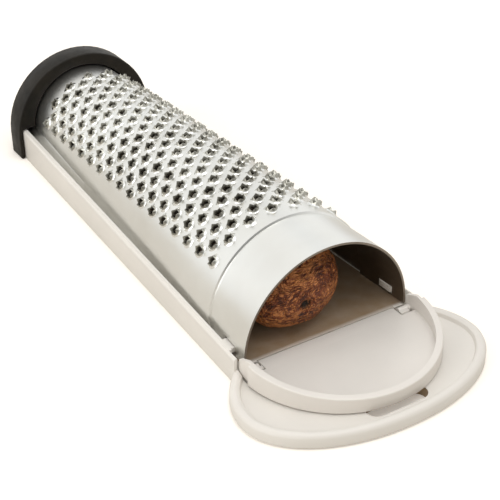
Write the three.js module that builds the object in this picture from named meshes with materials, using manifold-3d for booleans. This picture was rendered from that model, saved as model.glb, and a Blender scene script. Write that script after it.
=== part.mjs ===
// Hand nutmeg grater: a half-round toothed steel grater snapped on a plastic tray, with a black
// end cap, a hinged lid that lies open on the tray's wide tab, and one whole nutmeg in the store.
// Millimetres. X runs across, Y from the mouth to the narrow end, Z up. The mouth is at y = 0
// while the pieces are built; the group is then moved so that its footprint is centred.
import * as THREE from "three";
import { mergeVertices } from "three/addons/utils/BufferGeometryUtils.js";
import Module from "manifold-3d";

// Driving sizes of the grater
const LENGTH = 116.7; // mouth to the face of the end cap
const SHEET = 0.5; // steel thickness
const MOUTH_RADIUS = 21.5; // outside at the mouth, before the collar is set in
const NARROW_RADIUS = 14.6; // outside at the end cap's face
const LEG_FRONT = 0.8; // straight leg under the half circle at the mouth
const LEG_BACK = 3.7; // the same at the end cap's face
const COLLAR_LENGTH = 14.8;
const COLLAR_STEP = 0.45;
const STEP_RUN = 0.5; // length over which the collar's step rises
const WINDOW_LENGTH = 4.4; // window in the leg for the snap lug
const WINDOW_FOOT = 0.5; // leg left under the window

// Driving sizes of the teeth
const TOOTH_COLUMNS = 14;
const TOOTH_COLUMN_PITCH = 2.9; // around the grater
const TOOTH_ROW_PITCH = 5.6; // along one column
const TOOTH_FRONT_MARGIN = 4.8; // collar to the middle of the first row
const TOOTH_BACK_MARGIN = 7.5; // middle of the last row to the end cap's face
const TOOTH_HEIGHT = 0.9;
const TOOTH_FOOT = 2.3; // side of the square burr where it rises from the sheet
const TOOTH_HOLE = 1.1; // side of its hole

// Driving sizes of the tray
const FLOOR_TOP = 4.1;
const FLOOR_THICKNESS = 2;
const RAIL_WALL = 1.3;
const RAIL_SPACE_FRONT = 0.4; // between the grater and the rail at the mouth
const RAIL_SPACE_BACK = 2.7; // the same at the end cap's face
const RAIL_RISE_FRONT = 2.3; // rail above the floor at the mouth
const RAIL_RISE_BACK = 4.2; // the same at the end cap's face
const RAIL_START = 0.5; // front end of the rails
const RAIL_EDGE = 0.45; // chamfer along the rail's top
const TAB_MARGIN = 6.9; // tab beyond the lid at the side
const TAB_LEAD = 4.9; // tab beyond the lid at the front
const TAB_WIDEST = 10.3; // widest place of the tab, in front of the lid's centre
const TAB_SQUARENESS = 0.95; // 1 is a true oval, less is squarer
const TAB_FLOOR = 2.4;
const TAB_JOIN = 3; // tab continued under the grater's floor
const RIM_HEIGHT = 1.1; // tab's rim above its floor
const RIM_WIDTH = 2.4;
const RIM_ROUND = 0.9;
const FOOT_EDGE = 0.5; // chamfer around the tab's underside
const SLOT_LENGTH = 15;
const SLOT_WIDTH = 4.8;
const SLOT_MARGIN = 6.1; // slot's middle behind the tab's front

// Driving sizes of the end cap
const CAP_WALL = 1.2;
const CAP_DEPTH = 6.4;
const CAP_BACK_WALL = 1.8;
const CAP_CENTRE_Z = 6.3;

// Driving sizes of the lid and its hinge
const LID_PLATE = 1.4;
const LID_RIM_WIDTH = 1.55;
const LID_RIM_FRONT = 1.8; // rim above the plate at the front
const LID_RIM_PEAK = 3.7; // the same at its highest place
const LID_PEAK_LEAD = 2.2; // highest place, in front of the hinge
const EAR_RISE = 2.2; // ear above the plate
const EAR_WIDTH = 0.85;
const EAR_REACH = 1.1; // ear behind the hinge
const PLATE_REACH = 1; // plate behind the hinge
const HINGE_Y = -1;
const HINGE_LUG_RADIUS = 1.9;
const HINGE_LUG_WIDTH = 2.3;
const HINGE_PIN_RADIUS = 0.9;

// Driving sizes of the nutmeg, as shares of the mouth and of its own width
const NUTMEG_SHARE = 0.443; // its half width in the mouth's radius
const NUTMEG_SLENDER = 1.3; // its length in its width
const NUTMEG_ASIDE = 0.186; // its middle to the left, in the mouth's radius
const NUTMEG_YAW = -78; // degrees about Z
const NUTMEG_BLUNT = 0.04; // one half thicker than the other

// Clearances
const GAP = 0.3; // between pieces that stay together
const BORE_GAP = 0.25; // around the hinge pins
const EAR_GAP = 0.25; // beside the lid's ears
const SWING_GAP = 0.3; // in front of what the lid swings past
const SWING_DROP = 0.5; // under what the lid swings past
const REST_GAP = 0.4; // under the open lid
const SEAT_GAP = 0.1; // under the nutmeg
const LUG_REACH = 0.4; // snap lug beyond the inside of the grater
const LUG_DROP = 0.1; // snap lug below the rail's top
const MERGE = 0.2; // parts of one piece run this far into each other
const CUT = 1; // cuts run this far past the face that they open
const FAR = 60; // past everything

// Sizes worked out for the grater and the tray
const LEG_BOTTOM = FLOOR_TOP + GAP;
const END_Y = LENGTH + CAP_DEPTH - CAP_BACK_WALL - GAP; // narrow ends of tray and grater
const COLLAR_OUTER = MOUTH_RADIUS - COLLAR_STEP;

const lerp = THREE.MathUtils.lerp;
const along = (y) => y / LENGTH;
const archRadius = (y) => lerp(MOUTH_RADIUS, NARROW_RADIUS, along(y));
const archZ = (y) => LEG_BOTTOM + lerp(LEG_FRONT, LEG_BACK, along(y));
const railInner = (y) => archRadius(y) + lerp(RAIL_SPACE_FRONT, RAIL_SPACE_BACK, along(y));
const railOuter = (y) => railInner(y) + RAIL_WALL;
const railTop = (y) => FLOOR_TOP + lerp(RAIL_RISE_FRONT, RAIL_RISE_BACK, along(y));

// Sizes worked out for the lid and the tab around it
const LID_BOTTOM = TAB_FLOOR + REST_GAP;
const LID_TOP = LID_BOTTOM + LID_PLATE;
const HINGE_Z = LID_BOTTOM + LID_PLATE / 2;
const SWING_FLOOR = HINGE_Z - EAR_REACH - SWING_DROP;
const EAR_INNER = COLLAR_OUTER + GAP;
const EAR_OUTER = EAR_INNER + EAR_WIDTH;
const LID_RADIUS = EAR_INNER + LID_RIM_WIDTH;
const LID_CENTRE_Y = HINGE_Y - (archZ(0) - HINGE_Z); // shut, the rim is centred on the mouth
const LID_SHOULDER_Y = HINGE_Y - (railTop(0) + SWING_GAP - HINGE_Z);
const LID_PEAK_Y = HINGE_Y - LID_PEAK_LEAD;
const POCKET_BACK = HINGE_Y + LID_TOP + LID_RIM_PEAK - HINGE_Z + SWING_GAP;
const LUG_OUTER = COLLAR_OUTER - SHEET - GAP; // beside the foot of the grater's leg
const LUG_INNER = LUG_OUTER - HINGE_LUG_WIDTH;
const TAB_HALF_WIDTH = LID_RADIUS + TAB_MARGIN;
const TAB_WIDEST_Y = LID_CENTRE_Y - TAB_WIDEST;
const TAB_FRONT_Y = LID_CENTRE_Y - LID_RADIUS - TAB_LEAD;
const RIM_TOP = TAB_FLOOR + RIM_HEIGHT;
const SLOT_Y = TAB_FRONT_Y + SLOT_MARGIN;

// Sizes worked out for the windows in the grater's legs
const WINDOW_FRONT = POCKET_BACK + MERGE;
const WINDOW_BACK = WINDOW_FRONT + WINDOW_LENGTH;
const WINDOW_BOTTOM = LEG_BOTTOM + WINDOW_FOOT;
const WINDOW_TOP = railTop(WINDOW_FRONT) - LUG_DROP + GAP;

const wasm = await Module();
wasm.setup();

// A geometry as a solid that can be joined and cut.
function solid(geometry) {
  const bare = new THREE.BufferGeometry().setAttribute(
    "position",
    (geometry.index ? geometry.toNonIndexed() : geometry).getAttribute("position"),
  );
  const merged = mergeVertices(bare, 1e-4);
  return new wasm.Manifold(
    new wasm.Mesh({
      numProp: 3,
      vertProperties: new Float32Array(merged.attributes.position.array),
      triVerts: new Uint32Array(merged.index.array),
    }),
  );
}

// A solid as a named mesh.
function piece(name, made, colour, finish) {
  const { vertProperties, triVerts, numProp, numVert } = made.getMesh();
  const positions = new Float32Array(numVert * 3);
  for (let i = 0; i < numVert; i += 1) {
    positions.set(vertProperties.subarray(i * numProp, i * numProp + 3), i * 3);
  }
  const geometry = new THREE.BufferGeometry()
    .setAttribute("position", new THREE.BufferAttribute(positions, 3))
    .setIndex(new THREE.BufferAttribute(triVerts, 1));
  geometry.computeVertexNormals();
  const mesh = new THREE.Mesh(geometry, new THREE.MeshStandardMaterial({ color: colour, ...finish }));
  mesh.name = name;
  return mesh;
}

function joined(solids) {
  return solids.reduce((whole, next) => whole.add(next));
}

function mirrored(build) {
  return [build(-1), build(1)];
}

function box(x0, x1, y0, y1, z0, z1) {
  const geometry = new THREE.BoxGeometry(Math.abs(x1 - x0), y1 - y0, z1 - z0);
  geometry.translate((x0 + x1) / 2, (y0 + y1) / 2, (z0 + z1) / 2);
  return solid(geometry);
}

// A cylinder along X.
function crossPin(radius, x0, x1, y, z) {
  const geometry = new THREE.CylinderGeometry(radius, radius, Math.abs(x1 - x0), 20);
  geometry.rotateZ(Math.PI / 2).translate((x0 + x1) / 2, y, z);
  return solid(geometry);
}

// A flat outline in X and Y, raised from z0 to z1.
function slab(outline, z0, z1) {
  const geometry = new THREE.ExtrudeGeometry(new THREE.Shape(outline), {
    depth: z1 - z0,
    bevelEnabled: false,
  });
  return solid(geometry.translate(0, 0, z0));
}

// A profile in Y and Z, drawn out along X from x0 to x1.
function sideways(profile, x0, x1) {
  const geometry = new THREE.ExtrudeGeometry(new THREE.Shape(profile), {
    depth: x1 - x0,
    bevelEnabled: false,
  });
  geometry.applyMatrix4(new THREE.Matrix4().set(0, 0, 1, x0, 1, 0, 0, 0, 0, 1, 0, 0, 0, 0, 0, 1));
  return solid(geometry);
}

// A skin through rings with the same number of points, closed by a face at each end. The rings
// run anticlockwise as seen from the last ring.
function skin(rings, flatten) {
  const count = rings[0].length;
  const triangles = [];
  const at = (ring, i) => rings[ring][i % count];
  for (let r = 0; r + 1 < rings.length; r += 1) {
    for (let i = 0; i < count; i += 1) {
      triangles.push(at(r, i), at(r, i + 1), at(r + 1, i + 1));
      triangles.push(at(r, i), at(r + 1, i + 1), at(r + 1, i));
    }
  }
  for (const [ring, isLast] of [[0, false], [rings.length - 1, true]]) {
    const faces = THREE.ShapeUtils.triangulateShape(rings[ring].map(flatten), []);
    for (const [a, b, c] of faces) {
      triangles.push(...(isLast ? [a, b, c] : [a, c, b]).map((i) => rings[ring][i]));
    }
  }
  return solid(new THREE.BufferGeometry().setFromPoints(triangles));
}

// A section in X and Z, given by a function of y, carried through the given y values.
function loft(section, ys) {
  const rings = ys.map((y) => section(y).map(([x, z]) => new THREE.Vector3(x, y, z)));
  return skin(rings, (p) => new THREE.Vector2(-p.x, p.z));
}

// The arch from one leg's bottom over the crown to the other, clockwise as seen from the mouth.
function arch(radius, centreZ, bottomZ, segments) {
  const points = [[-radius, bottomZ]];
  for (let i = 0; i <= segments; i += 1) {
    const angle = Math.PI * (1 - i / segments);
    points.push([radius * Math.cos(angle), centreZ + radius * Math.sin(angle)]);
  }
  points.push([radius, bottomZ]);
  return points;
}

// Points of an arc in a plane, from one angle to another.
function arc(x, y, radius, from, to, segments) {
  return Array.from({ length: segments + 1 }, (_, i) => {
    const angle = lerp(from, to, i / segments);
    return new THREE.Vector2(x + radius * Math.cos(angle), y + radius * Math.sin(angle));
  });
}

// A ring drawn in by an inset, moving each point along its own normal.
function drawnIn(ring, inset, z) {
  return ring.map((p, i) => {
    const before = ring[(i + ring.length - 1) % ring.length];
    const after = ring[(i + 1) % ring.length];
    const tangent = after.clone().sub(before).normalize();
    return new THREE.Vector3(p.x - tangent.y * inset, p.y + tangent.x * inset, z);
  });
}

// The tab's outline: a full oval front that runs back into the rails.
function tabOutline() {
  const points = [];
  const steps = 60;
  const front = TAB_WIDEST_Y - TAB_FRONT_Y;
  const join = Math.sqrt(1 - (railOuter(0) / TAB_HALF_WIDTH) ** 2);
  const back = (RAIL_START - TAB_WIDEST_Y) / join;
  const joinAngle = Math.asin(join);
  for (let i = 0; i <= steps; i += 1) {
    const angle = lerp(joinAngle, -Math.PI - joinAngle, i / steps);
    const depth = Math.sin(angle) > 0 ? back : front;
    const across = Math.sign(Math.cos(angle)) * Math.abs(Math.cos(angle)) ** TAB_SQUARENESS;
    points.push(new THREE.Vector2(TAB_HALF_WIDTH * across, TAB_WIDEST_Y + depth * Math.sin(angle)));
  }
  const rear = RAIL_START + TAB_JOIN;
  points.push(new THREE.Vector2(-railOuter(rear), rear), new THREE.Vector2(railOuter(rear), rear));
  return points.reverse();
}

function trayRails() {
  const underside = FLOOR_TOP - FLOOR_THICKNESS;
  const section = (y) => {
    const outer = railOuter(y);
    const inner = railInner(y);
    const top = railTop(y);
    const half = [
      [outer, 0],
      [outer, top - RAIL_EDGE],
      [outer - RAIL_EDGE, top],
      [inner, top],
      [inner, FLOOR_TOP],
    ];
    const under = [
      [-inner, 0],
      [-inner, underside],
      [inner, underside],
      [inner, 0],
    ];
    return [...half, ...half.map(([x, z]) => [-x, z]).reverse(), ...under].reverse();
  };
  return loft(section, [RAIL_START, END_Y]);
}

function tab() {
  const outline = tabOutline();
  const levels = [
    [FOOT_EDGE, 0],
    [0, FOOT_EDGE],
    [0, RIM_TOP - RIM_ROUND],
    [RIM_ROUND / 3, RIM_TOP - RIM_ROUND / 3],
    [RIM_ROUND, RIM_TOP],
    [RIM_WIDTH - RIM_ROUND, RIM_TOP],
    [RIM_WIDTH - RIM_ROUND / 3, RIM_TOP - RIM_ROUND / 3],
    [RIM_WIDTH, TAB_FLOOR],
  ];
  const rings = levels.map(([inset, z]) => drawnIn(outline, inset, z));
  const reach = (SLOT_LENGTH - SLOT_WIDTH) / 2;
  const slot = [
    ...arc(-reach, SLOT_Y, SLOT_WIDTH / 2, Math.PI / 2, (Math.PI * 3) / 2, 12),
    ...arc(reach, SLOT_Y, SLOT_WIDTH / 2, -Math.PI / 2, Math.PI / 2, 12),
  ];
  return skin(rings, (p) => new THREE.Vector2(p.x, p.y)).subtract(slab(slot, -CUT, RIM_TOP));
}

// An upright ear with a bore for the lid's pin.
function hingeLug(side) {
  const profile = [
    new THREE.Vector2(HINGE_Y - HINGE_LUG_RADIUS, TAB_FLOOR / 2),
    ...arc(HINGE_Y, HINGE_Z, HINGE_LUG_RADIUS, Math.PI, 0, 12),
    new THREE.Vector2(HINGE_Y + HINGE_LUG_RADIUS, TAB_FLOOR / 2),
  ];
  const [x0, x1] = side < 0 ? [-LUG_OUTER, -LUG_INNER] : [LUG_INNER, LUG_OUTER];
  const bore = crossPin(HINGE_PIN_RADIUS + BORE_GAP, x0 - CUT, x1 + CUT, HINGE_Y, HINGE_Z);
  return sideways(profile, x0, x1).subtract(bore);
}

// A lug on the rail's inner face that snaps through the window in the grater's leg.
function snapLug(side) {
  const y0 = WINDOW_FRONT + GAP;
  const y1 = WINDOW_BACK - GAP;
  const tip = archRadius(y0) - COLLAR_STEP - SHEET - LUG_REACH;
  const root = railInner(y1) + MERGE;
  return box(side * tip, side * root, y0, y1, WINDOW_BOTTOM + GAP, WINDOW_TOP - GAP);
}

// The room that the lid's ear swings through beside the tray's floor.
function earPocket(side) {
  const inner = side * (EAR_INNER - EAR_GAP);
  const outer = side * (EAR_OUTER + EAR_GAP);
  return box(inner, outer, LID_SHOULDER_Y - CUT, POCKET_BACK, SWING_FLOOR, railTop(POCKET_BACK) + CUT);
}

function makeTray() {
  const half = railInner(0) + MERGE;
  const frontWall = box(-half, half, RAIL_START, RAIL_START + TAB_JOIN, TAB_FLOOR / 2, FLOOR_TOP);
  const troughHalf = EAR_OUTER + EAR_GAP;
  const troughFront = HINGE_Y - HINGE_LUG_RADIUS - SWING_GAP;
  const trough = box(-troughHalf, troughHalf, troughFront, RAIL_START, SWING_FLOOR, TAB_FLOOR + CUT);
  const body = joined([tab(), trayRails(), frontWall])
    .subtract(trough)
    .subtract(joined(mirrored(earPocket)));
  return joined([body, ...mirrored(hingeLug), ...mirrored(snapLug)]);
}

// A point of the grater's sheet: y along it, a distance around it from the crown, and a height
// above its outer surface. Past the half circle the sheet runs down as a leg, upright in the
// collar and spread to the rail behind it.
function onSheet(y, around, height) {
  const behind = THREE.MathUtils.clamp((y - COLLAR_LENGTH) / STEP_RUN, 0, 1);
  const step = COLLAR_STEP * (1 - behind);
  const radius = archRadius(y) - step;
  const quarter = (radius * Math.PI) / 2;
  const angle = Math.min(Math.abs(around), quarter) / radius;
  const drop = Math.max(Math.abs(around) - quarter, 0);
  const spread = (railInner(y) - GAP - archRadius(y)) * behind * (drop / (archZ(y) - LEG_BOTTOM));
  return new THREE.Vector3(
    Math.sign(around) * ((radius + height) * Math.sin(angle) + spread),
    y,
    archZ(y) + (radius + height) * Math.cos(angle) - drop,
  );
}

// Lines that divide the sheet around: tooth columns in the middle, then the plain sides and legs.
function sheetLines(y) {
  const step = y < COLLAR_LENGTH + STEP_RUN / 2 ? COLLAR_STEP : 0;
  const quarter = ((archRadius(y) - step) * Math.PI) / 2;
  const field = (TOOTH_COLUMNS / 2) * TOOTH_COLUMN_PITCH;
  const side = [0.25, 0.5, 0.75, 1].map((share) => lerp(field, quarter, share));
  side.push(quarter + archZ(y) - LEG_BOTTOM);
  const middle = Array.from({ length: TOOTH_COLUMNS + 1 }, (_, i) => i * TOOTH_COLUMN_PITCH - field);
  return [...side.map((a) => -a).reverse(), ...middle, ...side];
}

// The sheet with its teeth: each cell is plain, or holds a four-sided burr with a hole through it.
function toothedSheet() {
  const rows = [0, COLLAR_LENGTH, COLLAR_LENGTH + STEP_RUN];
  const firstToothRow = rows.length;
  const rowStep = TOOTH_ROW_PITCH / 2;
  const firstY = COLLAR_LENGTH + TOOTH_FRONT_MARGIN;
  const rowCount = Math.floor((LENGTH - TOOTH_BACK_MARGIN - firstY) / rowStep + 0.01) + 1;
  for (let r = 0; r <= rowCount; r += 1) {
    rows.push(firstY + (r - 0.5) * rowStep);
  }
  rows.push(END_Y);
  const lines = rows.map(sheetLines);
  const columns = lines[0].length - 1;
  const firstToothColumn = (columns - TOOTH_COLUMNS) / 2;
  const triangles = [];
  const quad = (a, b, c, d) => triangles.push(a, b, c, a, c, d);
  const between = (outer, inner) => {
    outer.forEach((p, i) => {
      const next = (i + 1) % 4;
      quad(p, outer[next], inner[next], inner[i]);
    });
  };
  const corners = (r, c, height) => [
    onSheet(rows[r], lines[r][c], height),
    onSheet(rows[r], lines[r][c + 1], height),
    onSheet(rows[r + 1], lines[r + 1][c + 1], height),
    onSheet(rows[r + 1], lines[r + 1][c], height),
  ];
  const square = (r, c, half, height) => {
    const y = (rows[r] + rows[r + 1]) / 2;
    const around = (lines[r][c] + lines[r][c + 1]) / 2;
    return [[-1, -1], [1, -1], [1, 1], [-1, 1]].map(([da, dy]) =>
      onSheet(y + dy * half, around + da * half, height),
    );
  };
  for (let r = 0; r + 1 < rows.length; r += 1) {
    for (let c = 0; c < columns; c += 1) {
      const outer = corners(r, c, 0);
      const inner = corners(r, c, -SHEET);
      const row = r - firstToothRow;
      const column = c - firstToothColumn;
      const inField = row >= 0 && row < rowCount && column >= 0 && column < TOOTH_COLUMNS;
      if (inField && (row + column) % 2 === 0) {
        const hole = square(r, c, TOOTH_HOLE / 2, -SHEET);
        const lip = square(r, c, TOOTH_HOLE / 2, TOOTH_HEIGHT);
        const foot = square(r, c, TOOTH_FOOT / 2, 0);
        between(outer, foot);
        between(foot, lip);
        between(lip, hole);
        between(hole, inner);
      } else {
        quad(...outer);
        quad(inner[3], inner[2], inner[1], inner[0]);
      }
      if (r === 0) quad(outer[1], outer[0], inner[0], inner[1]);
      if (r + 2 === rows.length) quad(outer[3], outer[2], inner[2], inner[3]);
      if (c === 0) quad(outer[0], outer[3], inner[3], inner[0]);
      if (c + 1 === columns) quad(outer[2], outer[1], inner[1], inner[2]);
    }
  }
  return solid(new THREE.BufferGeometry().setFromPoints(triangles));
}

function makeGrater() {
  const windows = mirrored((side) => {
    const inner = side * (archRadius(WINDOW_BACK) - COLLAR_STEP - SHEET - CUT);
    const outer = side * (MOUTH_RADIUS + CUT);
    return box(inner, outer, WINDOW_FRONT, WINDOW_BACK, WINDOW_BOTTOM, WINDOW_TOP);
  });
  return toothedSheet().subtract(joined(windows));
}

// The cap has a tongue under the tray's floor, so that it only comes off along Y.
function makeEndCap() {
  const outerRadius = railOuter(LENGTH) + CAP_WALL;
  const inside = LENGTH + CAP_DEPTH - CAP_BACK_WALL;
  const ends = [LENGTH - CUT, inside];
  const outside = loft(() => arch(outerRadius, CAP_CENTRE_Z, 0, 30), [LENGTH, LENGTH + CAP_DEPTH]);
  const aroundGrater = loft(() => arch(archRadius(LENGTH) + GAP, archZ(LENGTH), -CUT, 30), ends);
  const halfTray = railOuter(LENGTH) + GAP / 2;
  const aroundTray = box(-halfTray, halfTray, ends[0], ends[1], -CUT, railTop(END_Y) + GAP);
  const halfTongue = railInner(END_Y) - GAP;
  const tongueTop = FLOOR_TOP - FLOOR_THICKNESS - GAP;
  const tongue = box(-halfTongue, halfTongue, LENGTH, inside + MERGE, 0, tongueTop);
  return outside.subtract(aroundGrater).subtract(aroundTray).add(tongue);
}

// The lid's outline: a half circle with ears that run back to the hinge, drawn in by an inset.
function lidOutline(inset, rear) {
  const radius = LID_RADIUS - inset;
  const ear = EAR_OUTER - Math.min(inset, EAR_WIDTH);
  const start = Math.asin((LID_CENTRE_Y - LID_SHOULDER_Y) / radius);
  return [
    new THREE.Vector2(-ear, rear),
    new THREE.Vector2(-ear, LID_SHOULDER_Y),
    ...arc(0, LID_CENTRE_Y, radius, Math.PI + start, Math.PI * 2 - start, 40),
    new THREE.Vector2(ear, LID_SHOULDER_Y),
    new THREE.Vector2(ear, rear),
  ];
}

function makeLid() {
  const earRear = HINGE_Y + EAR_REACH;
  const hollow = slab(lidOutline(LID_RIM_WIDTH, earRear + CUT), LID_TOP, FAR);
  const aboveRim = sideways(
    [
      new THREE.Vector2(-FAR, LID_TOP + LID_RIM_FRONT),
      new THREE.Vector2(LID_CENTRE_Y - LID_RADIUS, LID_TOP + LID_RIM_FRONT),
      new THREE.Vector2(LID_PEAK_Y, LID_TOP + LID_RIM_PEAK),
      new THREE.Vector2(earRear, LID_TOP + EAR_RISE),
      new THREE.Vector2(FAR, LID_TOP + EAR_RISE),
      new THREE.Vector2(FAR, FAR),
      new THREE.Vector2(-FAR, FAR),
    ],
    -FAR,
    FAR,
  );
  const notchFront = HINGE_Y - HINGE_LUG_RADIUS - SWING_GAP;
  const notches = mirrored((side) =>
    box(side * (LUG_INNER - GAP), side * EAR_INNER, notchFront, earRear + CUT, 0, LID_TOP + CUT),
  );
  const rear = box(-LUG_INNER, LUG_INNER, HINGE_Y + PLATE_REACH, earRear + CUT, 0, LID_TOP + CUT);
  const pins = mirrored((side) => {
    const outer = side * (EAR_INNER + EAR_WIDTH / 2);
    return crossPin(HINGE_PIN_RADIUS, outer, side * (LUG_INNER + GAP), HINGE_Y, HINGE_Z);
  });
  const dish = slab(lidOutline(0, earRear), LID_BOTTOM, LID_TOP + LID_RIM_PEAK + CUT)
    .subtract(hollow)
    .subtract(aboveRim)
    .subtract(joined(notches))
    .subtract(rear);
  return joined([dish, ...pins]);
}

// A blunt egg that lies on the tray's floor, across the mouth and just behind the shut lid.
function makeNutmeg() {
  const halfWidth = MOUTH_RADIUS * NUTMEG_SHARE;
  const halfLength = halfWidth * NUTMEG_SLENDER;
  const rings = 18;
  const profile = Array.from({ length: rings + 1 }, (_, i) => {
    const angle = (Math.PI * i) / rings;
    const width = i % rings ? halfWidth * (1 + NUTMEG_BLUNT * Math.cos(angle)) * Math.sin(angle) : 0;
    return new THREE.Vector2(width, -halfLength * Math.cos(angle));
  });
  const geometry = new THREE.LatheGeometry(profile, 28);
  geometry.rotateX(Math.PI);
  geometry.rotateZ(THREE.MathUtils.degToRad(NUTMEG_YAW));
  geometry.computeBoundingBox();
  const { min } = geometry.boundingBox;
  const shutLidY = HINGE_Y + LID_TOP - HINGE_Z;
  geometry.translate(
    -MOUTH_RADIUS * NUTMEG_ASIDE,
    shutLidY + SWING_GAP - min.y,
    FLOOR_TOP + SEAT_GAP - min.z,
  );
  return solid(geometry);
}

const plastic = { roughness: 0.45, metalness: 0 };
const group = new THREE.Group();
group.name = "nutmeg_grater";
group.add(
  piece("tray", makeTray(), 0xe4e1d8, plastic),
  piece("grater", makeGrater(), 0xc8c8c6, { roughness: 0.3, metalness: 1 }),
  piece("end_cap", makeEndCap(), 0x23211e, { roughness: 0.7, metalness: 0 }),
  piece("lid", makeLid(), 0xe6e2da, plastic),
  piece("nutmeg", makeNutmeg(), 0x6b3a1f, { roughness: 0.75, metalness: 0 }),
);
group.position.y = -(TAB_FRONT_Y + LENGTH + CAP_DEPTH) / 2;

export default group;
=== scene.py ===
"""Hand nutmeg grater: a toothed half-round steel sheet on a warm white plastic tray.

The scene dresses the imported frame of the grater. The steel sheet is punched flat and rolled up, the
mouldings get soft edges, and the nutmeg gets its wrinkled bark. All lengths in the classes are in
millimetres and are turned into metres where they are used.
"""

from __future__ import annotations

import logging
import math
import random
from abc import ABC, abstractmethod
from collections.abc import Callable, Iterator
from contextlib import contextmanager
from dataclasses import dataclass, field
from enum import Enum

import bmesh
import bpy
import numpy as np
from bpy.types import Material, Node, Object, World
from bpy.types import NodeSocket as Socket
from mathutils import Matrix, Vector


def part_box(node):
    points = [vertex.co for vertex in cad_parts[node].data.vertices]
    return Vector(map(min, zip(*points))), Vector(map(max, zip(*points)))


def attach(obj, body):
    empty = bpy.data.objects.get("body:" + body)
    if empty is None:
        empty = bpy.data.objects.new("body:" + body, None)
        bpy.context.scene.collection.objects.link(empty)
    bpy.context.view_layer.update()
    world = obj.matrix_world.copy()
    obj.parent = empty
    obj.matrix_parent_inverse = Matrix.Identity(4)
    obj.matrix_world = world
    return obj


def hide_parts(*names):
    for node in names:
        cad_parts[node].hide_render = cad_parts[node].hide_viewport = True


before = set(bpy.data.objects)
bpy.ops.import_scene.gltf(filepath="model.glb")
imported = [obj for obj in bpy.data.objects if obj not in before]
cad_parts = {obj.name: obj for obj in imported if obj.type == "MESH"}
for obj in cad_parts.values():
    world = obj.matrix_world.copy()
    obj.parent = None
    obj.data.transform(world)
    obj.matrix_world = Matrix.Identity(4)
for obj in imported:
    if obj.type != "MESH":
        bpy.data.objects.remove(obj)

MM = 0.001
ORIGIN = (0.0, 0.0, 0.0)
SIDES = (-1, 1)  # left and right of the grater
WHITE = (1.0, 1.0, 1.0)

# How the mouldings' edges are rounded
MERGE_WITHIN = 0.002  # between corners that are one, in millimetres
FLAT_WITHIN = 1.0  # between faces that are one, in degrees
ROUND_FROM = 38.0  # between faces whose edge is rounded
SHADE_WITHIN = 42.0  # between faces that are shaded as one
EDGE_FACES = 3  # across a rounded edge

NOISE_MIDDLE = (0.3, 0.7)  # the values that most of a random pattern keeps to

Pair = tuple[float, float]
Triple = tuple[float, float, float]
Colour = Triple
Stop = tuple[float, Colour]
Inputs = dict[str | int, object]

log = logging.getLogger("nutmeg_grater")


class Body(Enum):
    """The moving bodies of the frame."""

    BASE = "base"
    LID = "lid"
    END_CAP = "end_cap"
    NUTMEG = "nutmeg"


class Slot(Enum):
    """The material slots of the record."""

    TRAY = "tray_plastic"
    STEEL = "grater_steel"
    CAP = "cap_rubber"
    LID = "lid_plastic"
    NUTMEG = "nutmeg_seed"


class Part(Enum):
    """What is picked in an edit mesh."""

    FACES = "FACE"
    POINTS = "VERT"


# Work on meshes


def metres(lengths: tuple[float, ...]) -> tuple[float, ...]:
    """Turns lengths in millimetres into metres.

    Args:
        lengths: The lengths.

    Returns:
        The same lengths in metres.
    """
    return tuple(length * MM for length in lengths)


def deselect() -> None:
    """Deselects every object, so that an operator only acts on what is chosen after it."""
    if bpy.context.mode != "OBJECT":
        bpy.ops.object.mode_set(mode="OBJECT")
    bpy.ops.object.select_all(action="DESELECT")


def choose(obj: Object) -> None:
    """Makes one object the only selected and active one.

    Args:
        obj: The object to choose.
    """
    deselect()
    obj.select_set(True)
    bpy.context.view_layer.objects.active = obj


def named(name: str) -> Object:
    """Names the object that an operator has just added.

    Args:
        name: The piece's name.

    Returns:
        The active object, renamed.
    """
    obj = bpy.context.view_layer.objects.active
    obj.name = name
    obj.data.name = name
    return obj


@contextmanager
def editing(obj: Object, action: str = "SELECT") -> Iterator[bmesh.types.BMesh]:
    """Opens an object in edit mode.

    Args:
        obj: The object to edit.
        action: SELECT or DESELECT, for all that it has.

    Yields:
        Its edit mesh.
    """
    choose(obj)
    bpy.ops.object.mode_set(mode="EDIT")
    bpy.ops.mesh.select_mode(type="FACE")
    bpy.ops.mesh.select_all(action=action)
    yield bmesh.from_edit_mesh(obj.data)
    bpy.ops.object.mode_set(mode="OBJECT")


def pick(obj: Object, part: Part, test: Callable[[Vector], bool]) -> None:
    """Selects the faces or the points of an edit mesh whose place passes a test.

    Args:
        obj: The object in edit mode.
        part: What is picked.
        test: Says whether a face with this middle, or a point at this place, is wanted.
    """
    mesh = bmesh.from_edit_mesh(obj.data)
    bpy.ops.mesh.select_mode(type=part.value)
    bpy.ops.mesh.select_all(action="DESELECT")
    if part is Part.FACES:
        for face in mesh.faces:
            face.select_set(test(face.calc_center_median()))
    else:
        for vert in mesh.verts:
            vert.select_set(test(vert.co))
    mesh.select_flush_mode()
    bmesh.update_edit_mesh(obj.data)


def apply_modifier(obj: Object, kind: str, **settings: object) -> None:
    """Adds a modifier and applies it.

    Args:
        obj: The object to change.
        kind: The modifier's type.
        **settings: The modifier's own settings.
    """
    choose(obj)
    modifier = obj.modifiers.new(kind.title(), kind)
    for key, value in settings.items():
        setattr(modifier, key, value)
    bpy.ops.object.modifier_apply(modifier=modifier.name)


def cut_block(obj: Object, middle: Triple, size: Triple) -> None:
    """Cuts a block out of an object.

    Args:
        obj: The object that is cut.
        middle: The block's middle, in millimetres.
        size: Its sides, in millimetres.
    """
    deselect()
    bpy.ops.mesh.primitive_cube_add(size=1.0, location=Vector(middle) * MM, scale=Vector(size) * MM)
    block = named("cutter")
    apply_modifier(obj, "BOOLEAN", operation="DIFFERENCE", solver="EXACT", object=block)
    bpy.data.objects.remove(block, do_unlink=True)


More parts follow.
